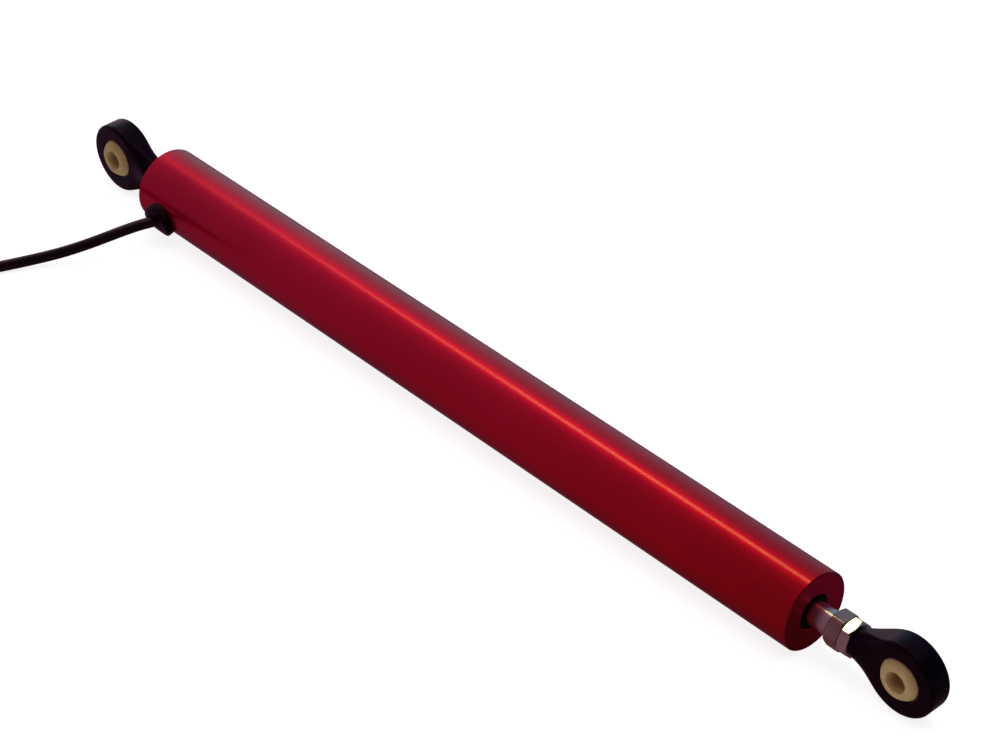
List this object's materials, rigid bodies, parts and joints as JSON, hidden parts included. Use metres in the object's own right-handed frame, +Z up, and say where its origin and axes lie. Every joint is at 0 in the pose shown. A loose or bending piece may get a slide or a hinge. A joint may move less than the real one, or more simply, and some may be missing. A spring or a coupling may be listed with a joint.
{
  "type": "linear position sensor",
  "caption": "Slim tubular linear position sensor: a rod slides out of one end of an anodised tube, a swivel rod eye closes each end and a cable leaves the tube's side.",
  "frame": {"origin": "under the middle of the object, without its cable, on the surface that the tube lies on", "axes": "+X along the tube's axis towards the rod end, +Z up, and the cable leaves the tube towards -Y"},
  "size_m": [0.3207, 0.0873, 0.019],
  "materials": {
    "anodised_red": "satin anodised",
    "seal_rubber": "moulded, matt",
    "bumper_rubber": "moulded, matt",
    "grommet_rubber": "moulded, satin",
    "nut_steel": "bright zinc plated",
    "eye_polymer": "moulded, fine texture",
    "ball_polymer": "moulded, smooth",
    "rod_steel": "ground",
    "ring_steel": "plain",
    "core_iron": "ground",
    "bearing_polymer": "machined",
    "former_polymer": "moulded",
    "copper_wire": "enamelled copper wire",
    "shield_metal": "drawn",
    "board_green": "solder mask",
    "chip_black": "moulded",
    "capacitor_tan": "ceramic",
    "tinned_metal": "tinned",
    "core_white": "insulation",
    "core_blue": "insulation",
    "core_red": "insulation",
    "cable_jacket": "extruded, satin",
    "tie_nylon": "moulded"
  },
  "bodies": {
    "housing": {"body_tube": "anodised_red", "front_end_cap": "anodised_red", "rear_end_cap": "anodised_red", "rod_wiper": "seal_rubber", "cable_grommet": "grommet_rubber", "rear_lock_nut": "nut_steel", "rear_rod_eye": "eye_polymer", "front_bush": "bearing_polymer", "front_cap_o_ring": "seal_rubber", "rear_cap_o_ring": "seal_rubber", "coil_former": "former_polymer", "primary_winding": "copper_wire", "rear_secondary_winding": "copper_wire", "front_secondary_winding": "copper_wire", "shield_tube": "shield_metal", "rear_stop_disc": "bumper_rubber", "front_stop_ring": "bumper_rubber", "circuit_board": "board_green", "signal_chip": "chip_black", "board_capacitors": "capacitor_tan", "board_terminals": "tinned_metal", "board_carrier": "former_polymer", "coil_leads": "copper_wire", "inner_cable_cores": "core_white", "inner_cable_end": "cable_jacket", "cable_crimp": "ring_steel", "cable": "cable_jacket", "cable_coil": "cable_jacket", "cable_tail": "cable_jacket", "cable_tie": "tie_nylon", "lead_core_white": "core_white", "lead_core_blue": "core_blue", "lead_core_red": "core_red", "lead_tips": "tinned_metal"},
    "rod_guide": {"guide_ring": "bearing_polymer"},
    "push_rod": {"push_rod": "rod_steel", "core_retaining_rings": "ring_steel", "armature_core": "core_iron", "rod_end_hex": "rod_steel", "front_lock_nut": "nut_steel", "front_rod_eye": "eye_polymer"},
    "front_ball": {"front_eye_ball": "ball_polymer"},
    "rear_ball": {"rear_eye_ball": "ball_polymer"}
  },
  "joints": [
    {"name": "rod_slide", "type": "slide", "parent": "housing", "child": "rod_guide", "axis": [1, 0, 0], "range_m": [-0.0025, 0.1]},
    {"name": "rod_turn", "type": "hinge", "parent": "rod_guide", "child": "push_rod", "pos_m": [0, 0, 0.0095], "axis": [1, 0, 0], "continuous": true},
    {"name": "front_ball_swivel", "type": "hinge", "parent": "push_rod", "child": "front_ball", "pos_m": [0.1318, 0, 0.0095], "axis": [0, 0, 1], "range_deg": [-25, 25]},
    {"name": "rear_ball_swivel", "type": "hinge", "parent": "housing", "child": "rear_ball", "pos_m": [-0.1318, 0, 0.0095], "axis": [0, 0, 1], "range_deg": [-25, 25]}
  ]
}
